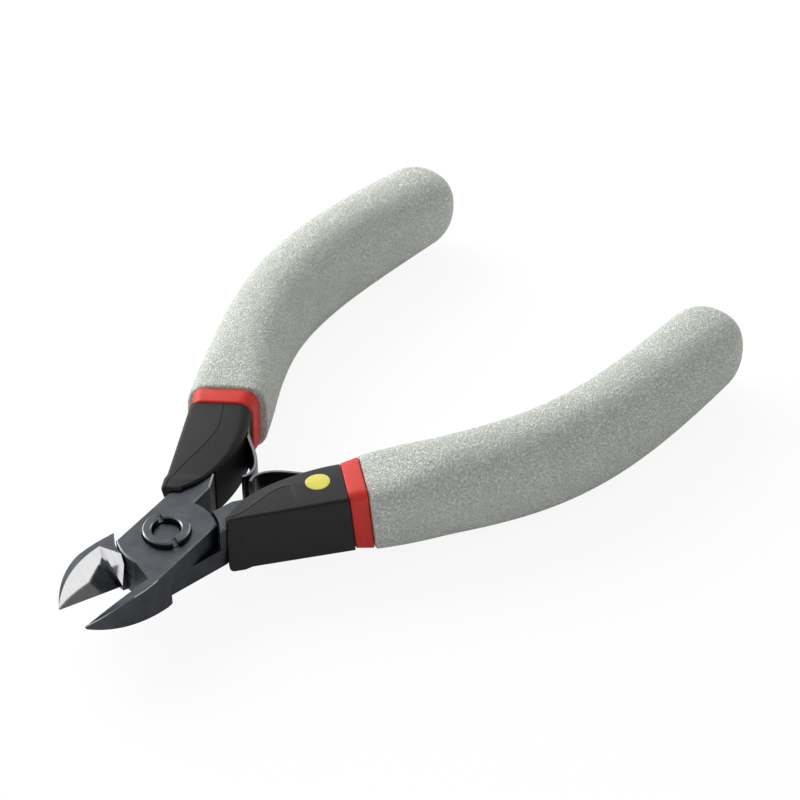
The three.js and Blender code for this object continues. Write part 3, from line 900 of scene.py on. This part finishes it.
def bolster_section(x, inner, radii, plain, guard, line_width, line_depth):
    """A bolster's section with rounded corners and a fine line along the ridge of each face."""
    radius, inner_radius = radii
    high = inner - inner_radius
    margin = 0.1

    def ridge(face, up):
        low = face["outer"] + radius
        fade = 1 - smoothstep(*LINE_FADE, x) if up > 0 else 1
        middle = clamp(face["ridge"], lerp(low, high, margin), lerp(high, low, margin))
        depths = ((line_width / 2, 0), (0, line_depth * fade), (-line_width / 2, 0))
        return [
            Vector((x, middle + up * aside, up * (face["height"] - depth))) for aside, depth in depths
        ]

    steps = 6
    return [
        *corner(x, high, plain["height"] - plain["drop"] - inner_radius, inner_radius, 0, steps),
        *ridge(plain, 1),
        *corner(x, plain["outer"] + radius, plain["height"] - radius, radius, math.pi / 2, steps),
        *corner(x, guard["outer"] + radius, radius - guard["height"], radius, math.pi, steps),
        *ridge(guard, -1),
        *corner(x, high, guard["drop"] + inner_radius - guard["height"], inner_radius, 1.5 * math.pi, steps),
    ]


def bolster_mesh(settings):
    """The hard shell over a tang's neck, in the handle's frame."""
    nose = Vector((BOLSTER_START, NOSE_WIDTH - BOLSTER_WIDTH / 2 - PLAIN_FACE["flare"]))
    end = Vector((BOLSTER_END, BOLSTER_WIDTH / 2))
    inside = (nose, nose + Vector(NOSE_LEAD), end + Vector((-SWELL_LEAD[0], SWELL_LEAD[1])), end)
    rings = []
    count = 48
    for i in range(count + 1):
        place = along(inside, (i / count) ** RING_CROWD)[0]
        way = (place.x - BOLSTER_START) / (BOLSTER_END - BOLSTER_START)
        guard = 1 - smoothstep(GUARD_LENGTH / 2, GUARD_LENGTH, place.x - BOLSTER_START)
        ring = bolster_section(
            place.x,
            place.y,
            [lerp(NOSE_EDGE, end_round, way) for end_round in (BOLSTER_ROUND, BOLSTER_INNER_ROUND)],
            bolster_face(place.x, PLAIN_FACE, 0),
            bolster_face(place.x, GUARD_FACE, guard),
            settings.line_width / MM,
            settings.line_depth / MM,
        )
        rings.append(lean(ring, way))
    first = rings[0]
    middle = sum(first, Vector()) / len(first)
    front = []
    shrink = NOSE_ROUND / (HALF_THICK + GUARD_FACE["nose_wall"])
    steps = 6
    for i in range(steps):
        turn = i / steps * math.pi / 2
        share = 1 - shrink * (1 - math.sin(turn))
        back = NOSE_ROUND * math.cos(turn)
        front.append([middle.lerp(p, share) - Vector((back, 0, 0)) for p in first])
    shell = mesh_of("bolster", *skin([*front, *rings]))
    tang = prism("tang_room", tang_room(), -HALF_THICK - TANG_FIT, HALF_THICK + TANG_FIT)
    half = SPRING_WIDTH / 2 + SPRING_FIT
    foot = prism("spring_room", spring_outline(SPRING_FIT), -half, half)
    return cut(shell, tang, foot)


def dot_mesh(shell, settings):
    """A round of ink lying on the upper face of a shell, in the handle's frame."""
    surface = BVHTree.FromPolygons(
        [vertex.co for vertex in shell.vertices], [tuple(face.vertices) for face in shell.polygons]
    )
    radius = settings.dot / 2 / MM
    count = 48
    rings = []
    edge = ((1.0, -INK_SINK), (1.0, INK_EDGE))
    for share, lift in (*edge, *((share, INK) for share in INK_RINGS)):
        ring = []
        for i in range(count):
            turn = i / count * 2 * math.pi
            spot = Vector(DOT_PLACE) + Vector((math.cos(turn), math.sin(turn))) * radius * share
            hit = surface.ray_cast(Vector((*spot, DOT_CAST_FROM)), Vector((0, 0, -1)))[0]
            ring.append(hit + Vector((0, 0, lift)))
        rings.append(ring)
    return mesh_of("left_dot", *skin(rings))


class CUTTERS_OT_bolsters(Operator):
    """Make the two hard shells and the printed dot"""

    bl_idname = "cutters.bolsters"
    bl_label = "Bolsters"

    def execute(self, context):
        settings = context.scene.cutters_bolster
        finish = moulded_nylon(settings)
        shell = bolster_mesh(settings)
        dot = dot_mesh(shell, settings)
        for side in SIDES:
            mesh = shell.copy()
            mesh.transform(handle_place(side))
            shade(mesh, 28)
            put(side + "_shell", mesh, side + "_handle", "bolster", side + "_bolster", finish)
        dot.transform(handle_place("left"))
        shade(dot, 40)
        put("left_dot", dot, "left_handle", "bolster", None, printed_ink(settings))
        return {"FINISHED"}


def rounded(x, low, high, outer, inner, steps):
    """A rectangle across a handle, from its lowest to its highest y and z, with rounded edges."""
    return [
        *corner(x, high[0] - inner, high[1] - inner, inner, 0, steps),
        *corner(x, low[0] + outer, high[1] - outer, outer, math.pi / 2, steps),
        *corner(x, low[0] + outer, low[1] + outer, outer, math.pi, steps),
        *corner(x, high[0] - inner, low[1] + inner, inner, 1.5 * math.pi, steps),
    ]


def tang_sides(x):
    """Outer and inner y of the tang between its neck and the grip."""
    half = TANG_WIDTH / 2
    shares = [(x - neck) / (GRIP_START - neck) for neck in NECK_XS]
    return [lerp(NECK_Y, 0, share) + side * half for share, side in zip(shares, (-1, 1))]


def band_mesh(settings):
    """A band with rounded rims and a slot for the tang, in the handle's frame."""
    rim = settings.rim / MM
    steps = 8

    def outside(share, inset):
        half = lerp(*BAND_HEIGHTS, share) / 2 - inset
        low = (inset - lerp(*BAND_OUTER, share), BAND_SHIFT - half)
        high = (lerp(*BAND_INNER, share) - inset, BAND_SHIFT + half)
        x = BAND_START + BAND_LENGTH * share
        return lean(rounded(x, low, high, BAND_ROUND - inset, BAND_INNER_ROUND - inset, steps))

    def bore(share):
        x = BAND_START + BAND_LENGTH * share
        low, high = tang_sides(x)
        half = HALF_THICK + TANG_FIT
        ends = ((low - TANG_FIT, -half), (high + TANG_FIT, half))
        return lean(rounded(x, *ends, SLOT_ROUND, SLOT_ROUND, steps))

    rim_steps = 6
    turns = [i / rim_steps * math.pi / 2 for i in range(rim_steps + 1)]
    rims = [(rim * (1 - math.cos(turn)) / BAND_LENGTH, rim * (1 - math.sin(turn))) for turn in turns]
    rings = [bore(1), bore(0)]
    rings.extend(outside(share, inset) for share, inset in rims)
    rings.extend(outside(1 - share, inset) for share, inset in reversed(rims))
    return mesh_of("band", *skin(rings, loop=True))


class CUTTERS_OT_bands(Operator):
    """Make the two red bands"""

    bl_idname = "cutters.bands"
    bl_label = "Bands"

    def execute(self, context):
        settings = context.scene.cutters_band
        finish = moulded_polypropylene(settings)
        for side in SIDES:
            mesh = band_mesh(settings)
            mesh.transform(handle_place(side))
            shade(mesh, 40)
            put(side + "_ring", mesh, side + "_handle", "band", side + "_band", finish)
        return {"FINISHED"}


def grip_line():
    """Middle line of a grip, as a function of the share of its length, and the length itself."""
    start = Vector((GRIP_START, 0))
    end = start + Vector((GRIP_SPAN, GRIP_SWEEP))
    heads = [Vector((math.cos(a), math.sin(a))) for a in GRIP_TILTS]
    points = (start, start + heads[0] * GRIP_LEADS[0], end - heads[1] * GRIP_LEADS[1], end)
    count = 400
    places = [along(points, i / count)[0] for i in range(count + 1)]
    lengths = [0.0]
    for a, b in zip(places, places[1:]):
        lengths.append(lengths[-1] + (b - a).length)
    whole = lengths[-1]

    def spot(share):
        goal = share * whole
        row = next((i for i in range(count) if lengths[i + 1] >= goal), count - 1)
        t = (row + (goal - lengths[row]) / (lengths[row + 1] - lengths[row])) / count
        place, ahead = along(points, clamp(t, 0, 1))
        skew = 1 - smoothstep(0, GRIP_SETTLE, goal)
        inward = Vector((-ahead.y, ahead.x))
        inward.rotate(Matrix.Rotation(-skew * GRIP_TILTS[0], 2))
        return place, ahead, inward

    return spot, whole


def oval(place, inward, width, height, square, dip=0):
    """A section across the grip, squarer than an ellipse."""
    ring = []
    count = 72
    for i in range(count):
        turn = i / count * 2 * math.pi
        ways = (math.cos(turn), math.sin(turn))
        across, up = (math.copysign(abs(way) ** (2 / square), way) for way in ways)
        spot = place + inward * (width / 2 * across)
        ring.append(Vector((spot.x, spot.y, height / 2 * up - dip)))
    return ring


def grip_mesh():
    """A soft sleeve with a closed round end and a bore for the tang, in the handle's frame."""
    spot, whole = grip_line()
    rings = []

    def add_ring(place, inward, share, scale, inset):
        reach = share * whole
        collar = GRIP_COLLAR * (1 - smoothstep(0, GRIP_COLLAR_LENGTH, reach))
        low = 1 - smoothstep(0, GRIP_SHOULDER, reach)
        width = scale * (through(GRIP_WIDTHS, share) + collar - inset)
        height = scale * (through(GRIP_HEIGHTS, share) - low * GRIP_RISE - inset)
        square = lerp(*reversed(GRIP_SQUARES), low)
        ring = oval(place + inward * (collar / 2), inward, width, height, square, low * GRIP_DIP)
        rings.append(lean(ring, 1 - smoothstep(0, GRIP_SETTLE, reach)))

    bore_steps, rim_steps, body_steps, cap_steps = 12, 8, 80, 20
    for i in range(bore_steps, -1, -1):
        depth = i / bore_steps
        place, _, inward = spot(depth * (TANG_DEPTH + 2 * TANG_FIT) / whole)
        width = lerp(TANG_WIDTH, TANG_TIP_WIDTH, depth) + TANG_FIT
        height = 2 * HALF_THICK + TANG_FIT
        ring = oval(place, inward, width * BORE_SPARE, height * BORE_SPARE, BORE_SQUARE)
        rings.append(lean(ring, 1 - smoothstep(0, GRIP_SETTLE, depth * TANG_DEPTH)))
    for i in range(rim_steps + 1):
        turn = i / rim_steps * math.pi / 2
        share = GRIP_RIM * (1 - math.cos(turn)) / whole
        place, _, inward = spot(share)
        add_ring(place, inward, share, 1, 2 * GRIP_RIM * (1 - math.sin(turn)))
    for i in range(1, body_steps + 1):
        share = lerp(GRIP_RIM / whole, 1, i / body_steps)
        place, _, inward = spot(share)
        add_ring(place, inward, share, 1, 0)
    place, ahead, inward = spot(1)
    for i in range(1, cap_steps):
        turn = i / cap_steps * math.pi / 2
        add_ring(place + ahead * (GRIP_CAP * math.sin(turn)), inward, 1, math.cos(turn), 0)
    return mesh_of("grip", *skin(rings))


class CUTTERS_OT_grips(Operator):
    """Make the two soft grips"""

    bl_idname = "cutters.grips"
    bl_label = "Grips"

    def execute(self, context):
        settings = context.scene.cutters_grip
        finish = foamed_vinyl(settings)
        for side in SIDES:
            mesh = grip_mesh()
            mesh.transform(handle_place(side))
            shade(mesh, 50)
            put(side + "_sleeve", mesh, side + "_handle", "grip", side + "_grip", finish)
        return {"FINISHED"}


def softbox(name, place, size, watts):
    """A square soft light that faces the tool."""
    lamp = bpy.data.lights.new(name, "AREA")
    lamp.size = size
    lamp.energy = watts
    obj = bpy.data.objects.new(name, lamp)
    obj.location = place
    obj.rotation_euler = (Vector(AIM) - Vector(place)).to_track_quat("-Z", "Y").to_euler()
    bpy.context.scene.collection.objects.link(obj)


def room(settings):
    """A white room: an even fill for matt surfaces, bright walls and a dark ceiling for shiny ones."""
    world = bpy.data.worlds.new("studio")
    world.use_nodes = True
    tree = world.node_tree
    tree.nodes.clear()
    path = add(tree, "ShaderNodeLightPath")
    aim = add(tree, "ShaderNodeTexCoord").outputs["Generated"]
    rise = add(tree, "ShaderNodeSeparateXYZ", inputs={"Vector": aim}).outputs["Z"]
    walls = add(
        tree,
        "ShaderNodeMapRange",
        {"interpolation_type": "SMOOTHSTEP"},
        {
            "Value": rise,
            "From Min": WALL_TOP[0],
            "From Max": WALL_TOP[1],
            "To Min": WALL_LEVEL,
            "To Max": CEILING_LEVEL,
        },
    )
    mirrored = add(
        tree,
        "ShaderNodeMix",
        inputs={0: path.outputs["Is Glossy Ray"], 2: settings.fill, 3: walls.outputs["Result"]},
    )
    level = add(
        tree,
        "ShaderNodeMath",
        {"operation": "MAXIMUM"},
        {0: mirrored.outputs[0], 1: seen(tree, path)},
    )
    light = add(
        tree,
        "ShaderNodeBackground",
        inputs={"Color": (1, 1, 1, 1), "Strength": level.outputs[0]},
    )
    add(tree, "ShaderNodeOutputWorld", inputs={"Surface": light.outputs[0]})
    return world


def photo_camera():
    """The camera at the photograph's angle."""
    lens = bpy.data.cameras.new("camera")
    lens.sensor_width = 36
    lens.lens = CAMERA_LENS
    lens.clip_start = 0.01
    camera = bpy.data.objects.new("camera", lens)
    camera.location = CAMERA_PLACE
    level = math.cos(CAMERA_ELEVATION)
    back = Vector(
        (
            math.sin(CAMERA_AZIMUTH) * level,
            -math.cos(CAMERA_AZIMUTH) * level,
            math.sin(CAMERA_ELEVATION),
        )
    )
    camera.rotation_euler = (-back).to_track_quat("-Z", "Y").to_euler()
    return camera


class CUTTERS_OT_stage(Operator):
    """Lay the floor, hang the lights and set the camera"""

    bl_idname = "cutters.stage"
    bl_label = "Stage"

    def execute(self, context):
        scene = context.scene
        settings = scene.cutters_stage
        low = CAD_BOX[0][2] - FLOOR_GAP
        corners = [(x * FLOOR_REACH, y * FLOOR_REACH, low) for x, y in ((-1, -1), (1, -1), (1, 1), (-1, 1))]
        floor = bpy.data.objects.new("floor", mesh_of("floor", corners, [(0, 1, 2, 3)]))
        floor.data.materials.append(white_paper(settings))
        scene.collection.objects.link(floor)
        softbox("back_light", BACK_LIGHT_PLACE, BACK_LIGHT_SIZE, settings.key_power)
        softbox("left_light", LEFT_LIGHT_PLACE, LEFT_LIGHT_SIZE, settings.left_power)
        scene.world = room(settings)
        scene.camera = photo_camera()
        scene.collection.objects.link(scene.camera)
        scene.view_settings.view_transform = "Standard"
        return {"FINISHED"}


OPERATORS = (
    CUTTERS_OT_steel,
    CUTTERS_OT_springs,
    CUTTERS_OT_bolsters,
    CUTTERS_OT_bands,
    CUTTERS_OT_grips,
    CUTTERS_OT_stage,
)

GROUPS = {
    "cutters_steel": SteelSettings,
    "cutters_bolster": BolsterSettings,
    "cutters_band": BandSettings,
    "cutters_grip": GripSettings,
    "cutters_stage": StageSettings,
}


class CUTTERS_PT_panel(Panel):
    """Sizes, colours and pieces of the side cutters"""

    bl_idname = "CUTTERS_PT_panel"
    bl_label = "Side Cutters"
    bl_space_type = "VIEW_3D"
    bl_region_type = "UI"
    bl_category = "Cutters"

    def draw(self, context):
        for name, group in GROUPS.items():
            box = self.layout.box()
            for field in group.__annotations__:
                box.prop(getattr(context.scene, name), field)
        for operator in OPERATORS:
            self.layout.operator(operator.bl_idname)


def register():
    for group in GROUPS.values():
        bpy.utils.register_class(group)
    for name, group in GROUPS.items():
        setattr(bpy.types.Scene, name, PointerProperty(type=group))
    for item in (*OPERATORS, CUTTERS_PT_panel):
        bpy.utils.register_class(item)


def unregister():
    for item in (CUTTERS_PT_panel, *reversed(OPERATORS)):
        bpy.utils.unregister_class(item)
    for name in GROUPS:
        delattr(bpy.types.Scene, name)
    for group in reversed(GROUPS.values()):
        bpy.utils.unregister_class(group)


def main():
    register()
    bpy.ops.cutters.steel()
    bpy.ops.cutters.springs()
    bpy.ops.cutters.bolsters()
    bpy.ops.cutters.bands()
    bpy.ops.cutters.grips()
    bpy.ops.cutters.stage()


if __name__ == "__main__":
    main()
